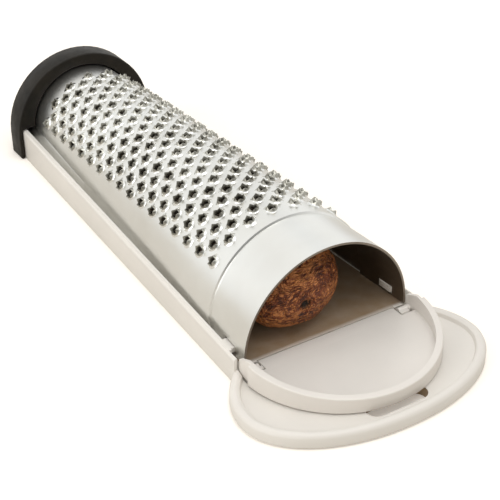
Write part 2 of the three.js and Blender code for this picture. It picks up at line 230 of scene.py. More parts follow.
def smooth(obj: Object, angle: float) -> None:
    """Shades an object smooth, apart from edges sharper than an angle.

    Args:
        obj: The object to shade.
        angle: The angle in degrees.
    """
    choose(obj)
    bpy.ops.object.shade_smooth_by_angle(angle=math.radians(angle))


def moulded_copy(
    node: str, name: str, edge: float, prepare: Callable[[Object], None] | None = None
) -> Object:
    """Copies a node of the frame and rounds its edges as a mould does.

    Args:
        node: The frame's node.
        name: The new piece's name.
        edge: The width of the rounded edges in millimetres.
        prepare: Shapes the copy before its edges are rounded.

    Returns:
        The rounded copy, at the origin.
    """
    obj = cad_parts[node].copy()
    obj.data = obj.data.copy()
    bpy.context.scene.collection.objects.link(obj)
    obj.parent = None
    obj.matrix_world = Matrix.Identity(4)
    obj.data.materials.clear()
    choose(obj)
    named(name)
    with editing(obj):
        bpy.ops.mesh.remove_doubles(threshold=MERGE_WITHIN * MM)
        bpy.ops.mesh.dissolve_limited(angle_limit=math.radians(FLAT_WITHIN))
    if prepare is not None:
        prepare(obj)
    limit = math.radians(ROUND_FROM)
    apply_modifier(
        obj, "BEVEL", width=edge * MM, segments=EDGE_FACES, limit_method="ANGLE", angle_limit=limit
    )
    smooth(obj, SHADE_WITHIN)
    return obj


def fit(obj: Object, body: Body, slot: Slot, material: Material | None, *nodes: str) -> None:
    """Gives a finished piece its material, its body and the nodes that it stands for.

    Args:
        obj: The piece.
        body: The body that carries it.
        slot: The record's material slot; it is not used.
        material: Its finish, or None where it already has its finishes.
        *nodes: The frame's nodes that it replaces.
    """
    if material is not None:
        obj.data.materials.clear()
        obj.data.materials.append(material)
    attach(obj, body.value)
    if nodes:
        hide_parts(*nodes)
    log.info("%s: %d faces on %s", obj.name, len(obj.data.polygons), body.value)


# Finishes


@dataclass(frozen=True)
class Pattern:
    """A soft random pattern."""

    scale: float  # features in one metre
    detail: float  # finer layers
    roughness: float = 0.55  # of the finer layers


@dataclass(frozen=True)
class Relief:
    """A pattern that is raised on a surface."""

    pattern: Pattern
    depth: float
    strength: float


class NodeBoard:
    """The nodes of a material or of the world, with short ways to add and join them."""

    def __init__(self, owner: Material | World) -> None:
        """Starts with an output and nothing else.

        Args:
            owner: The material or the world.
        """
        self.owner = owner
        owner.use_nodes = True
        self.tree = owner.node_tree
        self.tree.nodes.clear()
        self.output = self.add("OutputWorld" if isinstance(owner, World) else "OutputMaterial")

    def add(self, kind: str, inputs: Inputs | None = None, **settings: object) -> Node:
        """Adds a node.

        Args:
            kind: The node's type, without its ShaderNode prefix.
            inputs: Values for its sockets, or sockets to join to them.
            **settings: The node's own settings.

        Returns:
            The new node.
        """
        node = self.tree.nodes.new("ShaderNode" + kind)
        for key, value in settings.items():
            setattr(node, key, value)
        for key, value in (inputs or {}).items():
            if isinstance(value, Socket):
                self.tree.links.new(value, node.inputs[key])
            else:
                node.inputs[key].default_value = value
        return node

    def place(self, scale: Triple = (1.0, 1.0, 1.0)) -> Socket:
        """Gives the piece's own coordinates, stretched.

        Args:
            scale: How many times each axis is stretched.

        Returns:
            The socket with the coordinates.
        """
        own = self.add("TexCoord").outputs["Object"]
        return self.add("Mapping", {"Vector": own, "Scale": scale}).outputs["Vector"]

    def calc(self, operation: str, *values: Socket | float) -> Socket:
        """Works out one number.

        Args:
            operation: What is done with the numbers.
            *values: One or two numbers, or the sockets that give them.

        Returns:
            The socket with the result.
        """
        return self.add("Math", dict(enumerate(values)), operation=operation).outputs["Value"]

    def within(self, value: Socket, low: float, high: float) -> Socket:
        """Says where a value lies between two limits.

        Args:
            value: The socket with the value.
            low: The lower limit.
            high: The upper limit.

        Returns:
            The socket that is 1 between the limits and 0 elsewhere.
        """
        above = self.calc("GREATER_THAN", value, low)
        return self.calc("MULTIPLY", above, self.calc("LESS_THAN", value, high))

    def mapped(self, value: Socket, source: Pair, target: Pair = (0.0, 1.0)) -> Socket:
        """Maps one range of numbers on another, and holds what lies outside at its ends.

        Args:
            value: The socket with the value.
            source: The two ends that it comes from.
            target: What they become.

        Returns:
            The socket with the mapped value.
        """
        ends = {"From Min": source[0], "From Max": source[1], "To Min": target[0], "To Max": target[1]}
        return self.add("MapRange", {"Value": value, **ends}).outputs["Result"]

    def noise(self, place: Socket, pattern: Pattern, output: str = "Fac") -> Socket:
        """Gives a soft random pattern.

        Args:
            place: The coordinates that it reads.
            pattern: The pattern.
            output: Fac for one value, Color for three.

        Returns:
            The socket with the pattern, from 0 to 1.
        """
        inputs = {"Scale": pattern.scale, "Detail": pattern.detail, "Roughness": pattern.roughness}
        return self.add("TexNoise", {"Vector": place, **inputs}).outputs[output]

    def clouds(self, place: Socket, pattern: Pattern, ends: Pair) -> Socket:
        """Spreads the middle of a pattern over a range.

        Args:
            place: The coordinates that it reads.
            pattern: The pattern.
            ends: What the two ends of its middle become.

        Returns:
            The socket with the spread value.
        """
        return self.mapped(self.noise(place, pattern), NOISE_MIDDLE, ends)

    def ramp(self, value: Socket, *stops: Stop) -> Socket:
        """Turns a value into a colour.

        Args:
            value: The socket that drives it.
            *stops: Pairs of a place from 0 to 1 and its colour.

        Returns:
            The socket with the colour.
        """
        node = self.add("ValToRGB", {"Fac": value})
        elements = node.color_ramp.elements
        while len(elements) < len(stops):
            elements.new(1.0)
        for element, (position, colour) in zip(elements, stops):
            element.position = position
            element.color = (*colour, 1.0)
        return node.outputs["Color"]

    def laid_over(self, share: Socket, under: Socket, over: Colour) -> Socket:
        """Lays one colour over another.

        Args:
            share: How much of the upper colour shows, from 0 to 1.
            under: The socket with the lower colour.
            over: The upper colour.

        Returns:
            The socket with the mixed colour.
        """
        inputs = {"Fac": share, "Color1": under, "Color2": (*over, 1.0)}
        return self.add("MixRGB", inputs).outputs["Color"]

    def bump(self, height: Socket, depth: float, strength: float, under: Socket | None = None) -> Socket:
        """Gives a relief to the surface.

        Args:
            height: The relief from 0 to 1.
            depth: Its full depth in millimetres.
            strength: How much of it is used.
            under: A coarser relief below it.

        Returns:
            The socket with the normal.
        """
        inputs: Inputs = {"Height": height, "Distance": depth * MM, "Strength": strength}
        if under is not None:
            inputs["Normal"] = under
        return self.add("Bump", inputs).outputs["Normal"]

    def raised(self, place: Socket, relief: Relief) -> Socket:
        """Raises a pattern on the surface.

        Args:
            place: The coordinates that it reads.
            relief: The pattern and its depth.

        Returns:
            The socket with the normal.
        """
        return self.bump(self.noise(place, relief.pattern), relief.depth, relief.strength)

    def shader(self, kind: str, colour: Colour) -> Socket:
        """Adds a shader with a plain colour.

        Args:
            kind: The shader's type.
            colour: Its colour.

        Returns:
            The socket with the shader.
        """
        return self.add(kind, {"Color": (*colour, 1.0)}).outputs[0]

    def mixed(self, share: Socket, under: Socket, over: Socket) -> Socket:
        """Mixes two shaders.

        Args:
            share: How much of the upper shader shows, from 0 to 1.
            under: The socket with the lower shader.
            over: The socket with the upper shader.

        Returns:
            The socket with the mixed shader.
        """
        return self.add("MixShader", {0: share, 1: under, 2: over}).outputs["Shader"]

    def end(self, surface: Socket) -> None:
        """Joins the last shader to the output.

        Args:
            surface: The socket with the shader.
        """
        self.tree.links.new(surface, self.output.inputs["Surface"])


@dataclass(frozen=True)
class Finish(ABC):
    """A material that is made from its own values."""

    name: str

    @abstractmethod
    def surface(self, board: NodeBoard) -> Inputs:
        """Gives the inputs of the material's shader.

        Args:
            board: The material's nodes.

        Returns:
            Values, or sockets to join, by the inputs' names.
        """

    def make(self) -> Material:
        """Makes the material, with one shader.

        Returns:
            The finished material.
        """
        board = NodeBoard(bpy.data.materials.new(self.name))
        board.end(board.add("BsdfPrincipled", self.surface(board)).outputs["BSDF"])
        return board.owner


@dataclass(frozen=True)
class PaintedStoreShade:
    """Painted shade in a brown colour, on the store's floor further in from the mouth and on the walls of
    the tab's slot.
    """

    # the painted shade's colours on the store's floor and on the slot's walls; the patches make the floor's
    # painted shade uneven
    floor_colour: Colour = (0.32, 0.225, 0.138)
    slot_shade_colour: Colour = (0.50, 0.37, 0.24)
    patches: Pattern = Pattern(300.0, 4.0)
    cover: Pair = (0.88, 1.0)
    floor_heights: Pair = (3.8, 4.6)
    fades: Pair = (-46.3, -44.8)  # from none at the mouth to all of it
    store: Pair = (-46.3, 70.4)  # from the mouth to the narrow end
    reach: Pair = (21.2, 14.3)  # to the grater's legs, at the same two places
    slot_half: Pair = (7.7, 2.6)
    slot_y: float = -70.7
    slot_top: float = 2.25

    def on_floor(self, board: NodeBoard) -> Socket:
        """Gives where painted shade lies on the floor, deeper in the store and between the grater's legs.

        Args:
            board: The material's nodes.

        Returns:
            The socket with the share of painted shade, from 0 to 1.
        """
        place = board.place()
        axes = board.add("SeparateXYZ", {"Vector": place}).outputs
        level = board.within(axes["Z"], *metres(self.floor_heights))
        further = board.mapped(axes["Y"], metres(self.fades))
        reach = board.mapped(axes["Y"], metres(self.store), metres(self.reach))
        inside = board.calc("LESS_THAN", board.calc("ABSOLUTE", axes["X"]), reach)
        share = board.clouds(place, self.patches, self.cover)
        for part in (level, further, inside):
            share = board.calc("MULTIPLY", share, part)
        return share

    def in_slot(self, board: NodeBoard) -> Socket:
        """Gives where painted shade lies on the slot's walls.

        Args:
            board: The material's nodes.

        Returns:
            The socket with the share of painted shade, 0 or 1.
        """
        axes = board.add("SeparateXYZ", {"Vector": board.place()}).outputs
        half_x, half_y = self.slot_half
        across = board.within(axes["X"], *metres((-half_x, half_x)))
        along = board.within(axes["Y"], *metres((self.slot_y - half_y, self.slot_y + half_y)))
        low = board.calc("LESS_THAN", axes["Z"], self.slot_top * MM)
        return board.calc("MULTIPLY", board.calc("MULTIPLY", across, along), low)

    def paint_shade(self, board: NodeBoard, colour: Socket) -> Socket:
        """Lays the painted shade over a material's colour.

        Args:
            board: The material's nodes.
            colour: The socket with the clean colour.

        Returns:
            The socket with the colour under its painted shade.
        """
        shaded_colour = board.laid_over(self.on_floor(board), colour, self.floor_colour)
        return board.laid_over(self.in_slot(board), shaded_colour, self.slot_shade_colour)


@dataclass(frozen=True)
class MouldedPlastic(Finish):
    """Warm white moulded plastic with a fine satin grain."""

    colour: Colour = (0.768, 0.736, 0.685)
    shades: Pair = (0.965, 1.025)  # the darkest and the lightest, in the colour
    shade_clouds: Pattern = Pattern(60.0, 4.0)
    gloss: Pair = (0.37, 0.48)
    gloss_clouds: Pattern = Pattern(220.0, 3.0)
    grain: Relief = Relief(Pattern(2600.0, 2.0), depth=0.012, strength=0.5)
    refraction: float = 1.47
    # painted shade on the store's floor and the slot's walls, where it is given
    store_shade: PaintedStoreShade | None = None

    def surface(self, board: NodeBoard) -> Inputs:
        """Gives the shader faint clouds in its colour and gloss, and a fine grain.

        Args:
            board: The material's nodes.

        Returns:
            Values, or sockets to join, by the inputs' names.
        """
        place = board.place()
        shades = (tuple(part * shade for part in self.colour) for shade in self.shades)
        colour = board.ramp(board.noise(place, self.shade_clouds), *zip(NOISE_MIDDLE, shades))
        # lays the painted shade over the colour
        if self.store_shade is not None:
            colour = self.store_shade.paint_shade(board, colour)
        return {
            "Base Color": colour,
            "Roughness": board.clouds(place, self.gloss_clouds, self.gloss),
            "Normal": board.raised(place, self.grain),
            "IOR": self.refraction,
        }


@dataclass(frozen=True)
class PolishedSheet(Finish):
    """Stainless sheet with soft stains, a slight waviness and a gloss in fine lines along it."""

    dull: Colour = (0.735, 0.725, 0.69)
    bright: Colour = (0.80, 0.80, 0.775)
    stained: Pair = (0.32, 0.62)  # the stains' values that are dull and bright
    stains: Pattern = Pattern(45.0, 4.0)
    roughness: float = 0.30
    uneven: Pair = (-0.015, 0.02)
    lines: Pattern = Pattern(2400.0, 2.0)
    drawn_out: Triple = (1.0, 0.05, 1.0)
    waves: Relief = Relief(Pattern(70.0, 1.0), depth=0.16, strength=0.4)

    def surface(self, board: NodeBoard) -> Inputs:
        """Gives the shader its stains, its waviness and its lines.

        Args:
            board: The material's nodes.

        Returns:
            Values, or sockets to join, by the inputs' names.
        """
        place = board.place()
        stains = board.noise(place, self.stains)
        gloss = tuple(self.roughness + change for change in self.uneven)
        return {
            "Base Color": board.ramp(stains, *zip(self.stained, (self.dull, self.bright))),
            "Metallic": 1.0,
            "Roughness": board.clouds(board.place(self.drawn_out), self.lines, gloss),
            "Normal": board.raised(place, self.waves),
        }


@dataclass(frozen=True)
class Rubber(Finish):
    """Black rubber-like plastic with a soft sheen and fine dust."""

    colour: Colour = (0.0062, 0.0048, 0.0028)
    worn: Colour = (0.0190, 0.0145, 0.0090)
    wearing: Pair = (0.35, 0.75)  # the wear's values that are black and worn
    wear: Pattern = Pattern(140.0, 5.0)
    gloss: Pair = (0.38, 0.54)
    gloss_clouds: Pattern = Pattern(420.0, 3.0)
    pebbles: Relief = Relief(Pattern(2200.0, 2.0), depth=0.03, strength=0.6)
    sheen: float = 0.22

    def surface(self, board: NodeBoard) -> Inputs:
        """Gives the shader worn clouds and a pebbled surface.

        Args:
            board: The material's nodes.

        Returns:
            Values, or sockets to join, by the inputs' names.
        """
        place = board.place()
        wear = board.noise(place, self.wear)
        return {
            "Base Color": board.ramp(wear, *zip(self.wearing, (self.colour, self.worn))),
            "Roughness": board.clouds(place, self.gloss_clouds, self.gloss),
            "Normal": board.raised(place, self.pebbles),
            "Specular IOR Level": self.sheen,
        }


@dataclass(frozen=True)
class Net:
    """A net of soft ridges over the bark."""

    scale: float  # meshes in one metre
    width: float  # of a ridge, in its mesh
    depth: float

    def ridges(self, board: NodeBoard, place: Socket) -> Socket:
        """Gives the net.

        Args:
            board: The material's nodes.
            place: The coordinates that it reads.

        Returns:
            The socket that is 1 on the ridges and 0 between them.
        """
        inputs = {"Vector": place, "Scale": self.scale}
        net = board.add("TexVoronoi", inputs, feature="DISTANCE_TO_EDGE")
        return board.mapped(net.outputs["Distance"], (0.0, self.width), (1.0, 0.0))


@dataclass(frozen=True)
class NutmegBark(Finish):
    """The brown shell of a nutmeg: a net of ridges over dark furrows, and the scar of its stalk."""

    lie: float
    scar: Vector
    tones: tuple[Stop, ...] = (
        (0.08, (0.036, 0.0090, 0.0035)),  # furrows
        (0.48, (0.178, 0.041, 0.011)),  # bark
        (1.0, (0.58, 0.22, 0.070)),  # ridges
    )
    stretch: float = 1.9  # of the nets, along the seed
    warp: Pattern = Pattern(190.0, 4.0, roughness=0.5)
    warped_by: float = 0.0045
    folds: Net = Net(560.0, width=0.42, depth=0.55)
    threads: Net = Net(1500.0, width=0.34, depth=0.22)
    thread_share: float = 0.5  # of the bark's tone
    net_strength: float = 0.9
    blotches: Pattern = Pattern(170.0, 5.0)
    blotched: Pair = (0.30, 1.15)
    speckles: Pattern = Pattern(1300.0, 4.0)
    speckled: Pair = (-0.10, 0.12)
    pit: Colour = (0.010, 0.009, 0.006)
    pit_ring: Pair = (0.68, 1.7)  # radii between which the pit fades
    pit_shares: Pair = (0.95, 0.0)  # of its colour, inside and outside
    roughness: float = 0.40
    sheen: float = 0.32

    def surface(self, board: NodeBoard) -> Inputs:
        """Gives the shader a coarse and a fine net, blotches, speckles and the scar.

        Args:
            board: The material's nodes.

        Returns:
            Values, or sockets to join, by the inputs' names.
        """
        turned = {
            "Vector": board.add("TexCoord").outputs["Object"],
            "Rotation": (0.0, 0.0, math.radians(self.lie)),
            "Scale": (1.0, self.stretch, 1.0),
        }
        place = board.add("Mapping", turned, vector_type="TEXTURE").outputs["Vector"]
        warp = board.noise(place, self.warp, "Color")
        pushed = {"Fac": self.warped_by, "Color1": place, "Color2": warp}
        bent = board.add("MixRGB", pushed, blend_type="LINEAR_LIGHT").outputs["Color"]
        folds = self.folds.ridges(board, bent)
        threads = self.threads.ridges(board, bent)
        coarse = board.calc("MULTIPLY", folds, board.clouds(place, self.blotches, self.blotched))
        fine = board.calc("MULTIPLY", board.calc("SUBTRACT", 1.0, threads), self.thread_share)
        speckles = board.clouds(place, self.speckles, self.speckled)
        tone = board.calc("ADD", board.calc("ADD", coarse, fine), speckles)
        away = board.add("VectorMath", {0: board.place(), 1: self.scar}, operation="DISTANCE")
        scarred = board.mapped(away.outputs["Value"], metres(self.pit_ring), self.pit_shares)
        relief = board.bump(folds, self.folds.depth, self.net_strength)
        return {
            "Base Color": board.laid_over(scarred, board.ramp(tone, *self.tones), self.pit),
            "Roughness": self.roughness,
            "Normal": board.bump(threads, self.threads.depth, self.net_strength, under=relief),
            "Specular IOR Level": self.sheen,
        }


# The grater


@dataclass
class GraterSheet:
    """The punched steel sheet, rolled up to a tapered half cone with straight legs.

    The sheet is laid out flat in cells. Every second cell holds a tooth: a round burr that the punch
    has torn into four petals around its hole. Distances along the sheet start at the mouth.
    """

    length: float = 116.7
    end: float = 121.0
    sheet: float = 0.5
    radii: Pair = (21.5, 14.6)  # at the mouth and at the end cap's face, like the next two
    legs: Pair = (0.8, 3.7)
    spreads: Pair = (0.1, 2.4)
    leg_foot: float = 4.4
    collar_length: float = 14.8
    collar_step: float = 0.45
    crease: float = 0.2
    step_run: float = 0.5
    window_middle: Triple = (20.5, 6.1, 5.8)  # aside, along and up
    window_size: Triple = (3.0, 4.4, 1.8)
    columns: int = 14
    column_pitch: float = 2.9
    row_pitch: float = 5.6
    first_row: float = 19.6
    last_row: float = 109.2
    side_cells: int = 4
    cell_margin: float = 0.14  # of a cell, around its hole
    tooth_points: int = 16
    tooth_rings: tuple[Pair, ...] = (  # radius and height, from the foot to the bore
        (1.95, -0.16), (1.60, 0.02), (1.30, 0.26), (1.08, 0.58),
        (0.99, 0.74), (0.87, 0.58), (0.76, 0.12), (0.82, -0.44),
    )
    petals_from: float = 0.5  # height of the crown that is torn
    petals: tuple[tuple[int, float, float], ...] = (  # sixteenths of a turn, lift and widening
        (0, 0.38, 1.08),
        (1, 0.10, 1.0),
        (2, -0.30, 1.10),
    )
    # faces above this height or inside this radius get the darker steel, partly torn metal and partly
    # painted shade
    torn_from: float = 0.35
    torn_within: float = 0.9
    turned_by: float = 20.0
    leant_by: float = 5.0
    tooth_sizes: Pair = (0.94, 1.04)
    chance: int = 7
    mouth_y: float = field(default_factory=lambda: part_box("grater")[0].y / MM)

    def tapered(self, ends: Pair, y: float) -> float:
        """Gives a size that changes evenly along the grater.

        Args:
            ends: The size at the mouth and at the end cap's face.
            y: The distance from the mouth.

        Returns:
            The size there.
        """
        front, back = ends
        return front + (back - front) * y / self.length

    def behind(self, y: float) -> float:
        """Gives how far a place lies behind the collar's step.

        Args:
            y: The distance from the mouth.

        Returns:
            0 in the collar, 1 behind its step and between them on the step.
        """
        return min(max((y - self.collar_length) / self.step_run, 0.0), 1.0)

    def step(self, y: float) -> float:
        """Gives how far the sheet is set in, in the collar and in the crease behind it.

        Args:
            y: The distance from the mouth.

        Returns:
            The depth under the tapered surface.
        """
        share = self.behind(y)
        crease = self.crease * (1.0 - abs(2.0 * share - 1.0))
        return self.collar_step * (1.0 - share) + crease

    def collar_rows(self) -> list[float]:
        """Gives the lines across the flat sheet up to the teeth.

        Returns:
            Their distances from the mouth.
        """
        return [0.0, self.collar_length, self.collar_length + self.step_run]

    def rows(self) -> list[float]:
        """Gives all the lines across the flat sheet.

        Returns:
            Their distances from the mouth.
        """
        half = self.row_pitch / 2
        count = round((self.last_row - self.first_row) / half) + 1
        teeth = [self.first_row + (i - 0.5) * half for i in range(count + 1)]
        return [*self.collar_rows(), *teeth, self.end]

    def lines(self, y: float) -> list[float]:
        """Gives the lines along the flat sheet, as distances around it from the crown.

        Args:
            y: The distance from the mouth.

        Returns:
            The lines from the left leg's foot to the right leg's foot.
        """
        quarter = (self.tapered(self.radii, y) - self.step(y)) * math.pi / 2
        toothed = self.columns / 2 * self.column_pitch
        shares = [(i + 1) / self.side_cells for i in range(self.side_cells)]
        side = [toothed + (quarter - toothed) * share for share in shares]
        side.append(quarter + self.tapered(self.legs, y))
        middle = [i * self.column_pitch - toothed for i in range(self.columns + 1)]
        return [*(-around for around in reversed(side)), *middle, *side]

    def rolled(self, y: float, around: float, height: float) -> Vector:
        """Gives the rolled-up place of a point of the flat sheet.

        Args:
            y: Its distance from the mouth.
            around: Its distance around from the crown.
            height: Its height over the outer surface.

        Returns:
            Its place in metres.
        """
        radius = self.tapered(self.radii, y) - self.step(y)
        quarter = radius * math.pi / 2
        angle = min(abs(around), quarter) / radius
        leg = self.tapered(self.legs, y)
        drop = max(abs(around) - quarter, 0.0)
        spread = self.behind(y) * self.tapered(self.spreads, y) * drop / leg
        x = math.copysign((radius + height) * math.sin(angle) + spread, around)
        z = self.leg_foot + leg + (radius + height) * math.cos(angle) - drop
        return Vector((x, y + self.mouth_y, z)) * MM

    def tooth_cells(self) -> list[tuple[int, int]]:
        """Gives the cells that hold a tooth.

        Returns:
            The column and the row of each.
        """
        first_row, last_row = len(self.collar_rows()), len(self.rows()) - 2
        first_column = self.side_cells + 1
        return [
            (first_column + column, row)
            for row in range(first_row, last_row)
            for column in range(self.columns)
            if (row - first_row + column) % 2 == 0
        ]

    def punch_flat(self) -> Object:
        """Lays the sheet out as a flat grid of unit cells, with a hole in each tooth's cell.

        Returns:
            The flat sheet.
        """
        across = len(self.lines(0.0)) - 1
        along = len(self.rows()) - 1
        deselect()
        bpy.ops.mesh.primitive_grid_add(x_subdivisions=across, y_subdivisions=along, size=1.0)
        sheet = named("grater_sheet")
        teeth = set(self.tooth_cells())
        with editing(sheet):
            bpy.ops.transform.resize(value=(across, along, 1.0), center_override=ORIGIN)
            bpy.ops.transform.translate(value=(across / 2, along / 2, 0.0))
            pick(sheet, Part.FACES, lambda middle: (int(middle.x), int(middle.y)) in teeth)
            bpy.ops.mesh.inset(thickness=self.cell_margin, use_individual=True)
            bpy.ops.mesh.delete(type="FACE")
            bpy.ops.mesh.select_all(action="SELECT")
            bpy.ops.mesh.subdivide(number_cuts=1)
        return sheet

    def roll_up(self, sheet: Object) -> None:
        """Rolls the flat sheet up, with its outside outwards.

        Args:
            sheet: The flat sheet.
        """
        rows = self.rows()
        for vert in sheet.data.vertices:
            y = float(np.interp(vert.co.y, range(len(rows)), rows))
            lines = self.lines(y)
            around = float(np.interp(vert.co.x, range(len(lines)), lines))
            vert.co = self.rolled(y, around, 0.0)
        with editing(sheet):
            bpy.ops.mesh.normals_make_consistent(inside=False)
        crown = max(sheet.data.polygons, key=lambda face: face.center.z)
        if crown.normal.z < 0:
            sheet.data.flip_normals()

    def make_sheet(self, finishes: list[Material]) -> Object:
        """Makes the sheet: punched flat, rolled up, thickened and cut for the snap lugs.

        Args:
            finishes: The materials of its outside and of its inside, which is the same steel painted darker
                as shade.

        Returns:
            The finished sheet.
        """
        sheet = self.punch_flat()
        self.roll_up(sheet)
        for finish in finishes:
            sheet.data.materials.append(finish)
        inside = {"material_offset": 1, "material_offset_rim": 1}
        apply_modifier(sheet, "SOLIDIFY", thickness=self.sheet * MM, offset=-1.0, **inside)
        aside, along, up = self.window_middle
        for side in SIDES:
            cut_block(sheet, (side * aside, self.mouth_y + along, up), self.window_size)
        smooth(sheet, angle=30)
        return sheet

    @staticmethod
    def from_petal(co: Vector) -> int:
        """Gives how far a point of the tooth is from the nearest petal's middle.

        Args:
            co: The point's place.

        Returns:
            The sixteenths of a turn between them.
        """
        turn = round(math.atan2(co.y, co.x) / (math.pi / 8)) % 4
        return min(turn, 4 - turn)

    def make_one_tooth(self, finishes: list[Material]) -> Object:
        """Makes one burr around its hole, standing on the origin with its foot in X and Y.

        Args:
            finishes: The materials of its foot and of its torn crown and bore, whose darker steel is partly
                torn metal and partly painted shade.

        Returns:
            The burr, in millimetres.
        """
        (radius, height), *rings = self.tooth_rings
        deselect()
        bpy.ops.mesh.primitive_circle_add(vertices=self.tooth_points, radius=radius)
        tooth = named("tooth")
        with editing(tooth):
            bpy.ops.mesh.select_mode(type="VERT")
            bpy.ops.mesh.select_all(action="SELECT")
            bpy.ops.transform.translate(value=(0.0, 0.0, height))
            for next_radius, next_height in rings:
                rise = (0.0, 0.0, next_height - height)
                bpy.ops.mesh.extrude_region_move(TRANSFORM_OT_translate={"value": rise})
                share = next_radius / radius
                bpy.ops.transform.resize(value=(share, share, 1.0), center_override=ORIGIN)
                radius, height = next_radius, next_height
            for turn, lift, share in self.petals:
                pick(tooth, Part.POINTS, lambda co: co.z > self.petals_from and self.from_petal(co) == turn)
                bpy.ops.transform.resize(value=(share, share, 1.0), center_override=ORIGIN)
                bpy.ops.transform.translate(value=(0.0, 0.0, lift))
            bpy.ops.mesh.select_all(action="SELECT")
            bpy.ops.mesh.normals_make_consistent(inside=False)
        for finish in finishes:
            tooth.data.materials.append(finish)
        # the crown and the bore get the darker steel: torn metal, and painted shade in the burr's hollow
        # and on its edges
        for face in tooth.data.polygons:
            torn = face.center.z > self.torn_from or face.center.xy.length < self.torn_within
            face.material_index = int(torn)
        return tooth

    def make_teeth(self, finishes: list[Material]) -> Object:
        """Copies the tooth over the sheet and joins the copies.

        Args:
            finishes: The materials of each tooth's foot and of its torn crown and bore, whose darker steel
                is partly painted shade.

        Returns:
            All the teeth as one mesh.
        """
        rows = self.rows()
        tooth = self.make_one_tooth(finishes)
        chance = random.Random(self.chance)
        copies = []
        for column, row in self.tooth_cells():
            y = (rows[row] + rows[row + 1]) / 2
            lines = self.lines(y)
            around = (lines[column] + lines[column + 1]) / 2
            foot = self.rolled(y, around, 0.0)
            up = (self.rolled(y, around, 1.0) - foot).normalized()
            along = (self.rolled(y + 1.0, around, 0.0) - foot).normalized()
            across = along.cross(up).normalized()
            along = up.cross(across)
            place = Matrix((across, along, up)).transposed().to_4x4()
            place.translation = foot
            turn = Matrix.Rotation(math.radians(chance.uniform(-self.turned_by, self.turned_by)), 4, "Z")
            lean = Matrix.Rotation(math.radians(chance.uniform(-self.leant_by, self.leant_by)), 4, "X")
            size = Matrix.Diagonal((*(chance.uniform(*self.tooth_sizes) for _ in range(3)), 1.0))
            copy = tooth.copy()
            copy.data = tooth.data.copy()
            copy.data.transform(place @ Matrix.Scale(MM, 4) @ lean @ turn @ size)
            bpy.context.scene.collection.objects.link(copy)
            copies.append(copy)
        bpy.data.objects.remove(tooth, do_unlink=True)
        choose(copies[0])
        for copy in copies:
            copy.select_set(True)
        bpy.ops.object.join()
        teeth = named("grater_teeth")
        smooth(teeth, angle=50)
        return teeth

    def build(self) -> None:
        """Makes and dresses the sheet and its teeth."""
        bright = PolishedSheet("polished_steel")
        # the sheet's inside is the same steel, painted darker and browner as shade inside the store
        inside = PolishedSheet(
            "painted_shade_steel_inside", bright=(0.30, 0.26, 0.22), dull=(0.18, 0.15, 0.12), roughness=0.38
        )
        fit(self.make_sheet([bright.make(), inside.make()]), Body.BASE, Slot.STEEL, None, "grater")
        punched = PolishedSheet("punched_steel", roughness=0.20)
        # the torn crowns and the bores get a darker steel, partly torn metal and partly painted shade
        torn = PolishedSheet(
            "torn_and_shaded_steel", bright=(0.46, 0.45, 0.40), dull=(0.22, 0.21, 0.18), roughness=0.36
        )
        fit(self.make_teeth([punched.make(), torn.make()]), Body.BASE, Slot.STEEL, None)


# The mouldings


@dataclass
class Tray:
    """The tray with its floor, rails, tab and hinge lugs."""

    edge: float = 0.22
    lug_top: float = 4.3
    lug_middle: Pair = (19.025, -47.3)
    lug_room: Triple = (2.85, 5.4, 2.0)  # cleared over each lug

    def flatten_lugs(self, tray: Object) -> None:
        """Takes the round tops off the hinge lugs, which lie flush with the lid.

        Args:
            tray: The tray's moulding.
        """
        x, y = self.lug_middle
        for side in SIDES:
            cut_block(tray, (side * x, y, self.lug_top + self.lug_room[2] / 2), self.lug_room)

    def build(self) -> None:
        """Makes and dresses the tray."""
        # the tray's plastic carries painted shade in the store and on the slot's walls
        plastic = MouldedPlastic("tray_plastic_satin", store_shade=PaintedStoreShade()).make()
        tray = moulded_copy("tray", "tray_moulding", self.edge)
        self.flatten_lugs(tray)
        fit(tray, Body.BASE, Slot.TRAY, plastic, "tray")


@dataclass
class Lid:
    """The dished lid that hinges in front of the mouth."""

    edge: float = 0.3
    outer_round: float = 1.05
    inner_round: float = 0.4
    round_faces: int = 6
    sharp_from: float = 50.0
    rim_middle: float = 22.1  # between its outer and its inner side, from the centre
    rim_from: float = 5.3
    rim_behind: float = -49.2
    centre_y: float = -49.0

    def round_rim(self, lid: Object) -> None:
        """Rounds the top of the lid's rim, much more on its outer side.

        Args:
            lid: The lid's moulding.
        """
        for outer, offset in ((True, self.outer_round), (False, self.inner_round)):
            with editing(lid, "DESELECT") as mesh:
                for edge in mesh.edges:
                    ends = [vert.co / MM for vert in edge.verts]
                    high = all(end.z > self.rim_from and end.y < self.rim_behind for end in ends)
                    far = [math.hypot(end.x, end.y - self.centre_y) > self.rim_middle for end in ends]
                    sharp = edge.calc_face_angle(0.0) > math.radians(self.sharp_from)
                    edge.select_set(high and sharp and far == [outer, outer])
                bpy.ops.mesh.bevel(
                    offset=offset * MM, segments=self.round_faces, affect="EDGES", clamp_overlap=True
                )

    def build(self) -> None:
        """Makes and dresses the lid."""
        plastic = MouldedPlastic("lid_plastic_satin", colour=(0.772, 0.735, 0.685)).make()
        lid = moulded_copy("lid", "lid_moulding", self.edge, prepare=self.round_rim)
        fit(lid, Body.LID, Slot.LID, plastic, "lid")


@dataclass
class EndCap:
    """The black cap over the narrow end."""

    edge: float = 0.4

    def build(self) -> None:
        """Makes and dresses the cap."""
        cap = moulded_copy("end_cap", "end_cap_moulding", self.edge)
        fit(cap, Body.END_CAP, Slot.CAP, Rubber("cap_black").make(), "end_cap")


# The nutmeg


